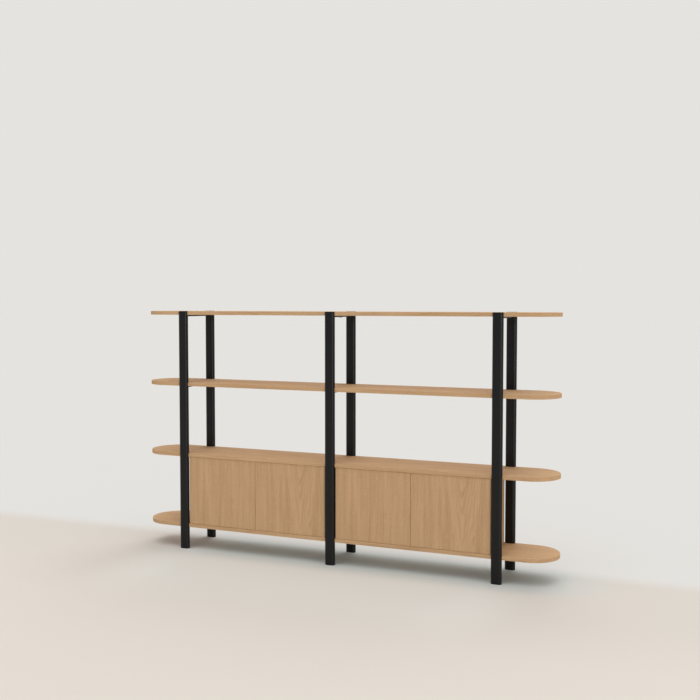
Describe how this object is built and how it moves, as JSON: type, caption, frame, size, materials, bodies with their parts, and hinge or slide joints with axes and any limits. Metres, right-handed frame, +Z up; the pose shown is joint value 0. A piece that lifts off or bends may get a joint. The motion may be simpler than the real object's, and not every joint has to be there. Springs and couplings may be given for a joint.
{
  "type": "shelving unit",
  "caption": "Long low shelving unit: round-ended oak boards on black steel ladder frames, with door-fronted cabinets between the lowest boards.",
  "frame": {"origin": "on the floor under the middle of the unit", "axes": "+X along the unit, to the right of someone facing the doors; +Y from the doors to the rear; +Z up"},
  "size_m": [2.154, 0.288, 1.22],
  "materials": {
    "black_steel": "satin black powder coat",
    "oak": "clear matt oil on pale oak",
    "black_plastic": "matt moulded black",
    "white_nylon": "matt moulded off-white",
    "zinc_steel": "bright zinc plate"
  },
  "bodies": {
    "frame": {"post_front_left": "black_steel", "post_rear_left": "black_steel", "crossbar_top_left": "black_steel", "crossbar_upper_left": "black_steel", "crossbar_lower_left": "black_steel", "crossbar_bottom_left": "black_steel", "post_caps_left": "black_plastic", "floor_glides_left": "black_plastic", "post_front_middle": "black_steel", "post_rear_middle": "black_steel", "crossbar_top_middle": "black_steel", "crossbar_upper_middle": "black_steel", "crossbar_lower_middle": "black_steel", "crossbar_bottom_middle": "black_steel", "post_caps_middle": "black_plastic", "floor_glides_middle": "black_plastic", "post_front_right": "black_steel", "post_rear_right": "black_steel", "crossbar_top_right": "black_steel", "crossbar_upper_right": "black_steel", "crossbar_lower_right": "black_steel", "crossbar_bottom_right": "black_steel", "post_caps_right": "black_plastic", "floor_glides_right": "black_plastic", "shelf_top": "oak", "shelf_upper": "oak", "shelf_lower": "oak", "shelf_bottom": "oak", "shelf_screws": "zinc_steel", "cabinet_back_left_bay": "oak", "catch_housing_left_bay": "black_plastic", "cabinet_side_left_bay_left": "oak", "cabinet_side_left_bay_right": "oak", "cabinet_back_right_bay": "oak", "catch_housing_right_bay": "black_plastic", "cabinet_side_right_bay_left": "oak", "cabinet_side_right_bay_right": "oak", "cabinet_tongues": "oak", "pivot_bushes": "white_nylon"},
    "door_leaf_left_bay_left": {"door_left_bay_left": "oak", "pivot_pins_left_bay_left": "zinc_steel", "strike_plate_left_bay_left": "zinc_steel"},
    "door_leaf_left_bay_right": {"door_left_bay_right": "oak", "pivot_pins_left_bay_right": "zinc_steel", "strike_plate_left_bay_right": "zinc_steel"},
    "door_leaf_right_bay_left": {"door_right_bay_left": "oak", "pivot_pins_right_bay_left": "zinc_steel", "strike_plate_right_bay_left": "zinc_steel"},
    "door_leaf_right_bay_right": {"door_right_bay_right": "oak", "pivot_pins_right_bay_right": "zinc_steel", "strike_plate_right_bay_right": "zinc_steel"},
    "plunger_left_bay_left": {"catch_plunger_left_bay_left": "white_nylon"},
    "plunger_left_bay_right": {"catch_plunger_left_bay_right": "white_nylon"},
    "plunger_right_bay_left": {"catch_plunger_right_bay_left": "white_nylon"},
    "plunger_right_bay_right": {"catch_plunger_right_bay_right": "white_nylon"}
  },
  "joints": [
    {"name": "door_hinge_left_bay_left", "type": "hinge", "parent": "frame", "child": "door_leaf_left_bay_left", "pos_m": [-0.78349, -0.119, 0.30125], "axis": [0, 0, -1], "range_deg": [0, 92]},
    {"name": "door_hinge_left_bay_right", "type": "hinge", "parent": "frame", "child": "door_leaf_left_bay_right", "pos_m": [-0.03551, -0.119, 0.30125], "axis": [0, 0, 1], "range_deg": [0, 92]},
    {"name": "door_hinge_right_bay_left", "type": "hinge", "parent": "frame", "child": "door_leaf_right_bay_left", "pos_m": [0.03551, -0.119, 0.30125], "axis": [0, 0, -1], "range_deg": [0, 92]},
    {"name": "door_hinge_right_bay_right", "type": "hinge", "parent": "frame", "child": "door_leaf_right_bay_right", "pos_m": [0.78349, -0.119, 0.30125], "axis": [0, 0, 1], "range_deg": [0, 92]},
    {"name": "plunger_slide_left_bay_left", "type": "slide", "parent": "frame", "child": "plunger_left_bay_left", "axis": [0, 1, 0], "range_m": [0, 0.003], "stiffness_N_per_m": 200},
    {"name": "plunger_slide_left_bay_right", "type": "slide", "parent": "frame", "child": "plunger_left_bay_right", "axis": [0, 1, 0], "range_m": [0, 0.003], "stiffness_N_per_m": 200},
    {"name": "plunger_slide_right_bay_left", "type": "slide", "parent": "frame", "child": "plunger_right_bay_left", "axis": [0, 1, 0], "range_m": [0, 0.003], "stiffness_N_per_m": 200},
    {"name": "plunger_slide_right_bay_right", "type": "slide", "parent": "frame", "child": "plunger_right_bay_right", "axis": [0, 1, 0], "range_m": [0, 0.003], "stiffness_N_per_m": 200}
  ]
}
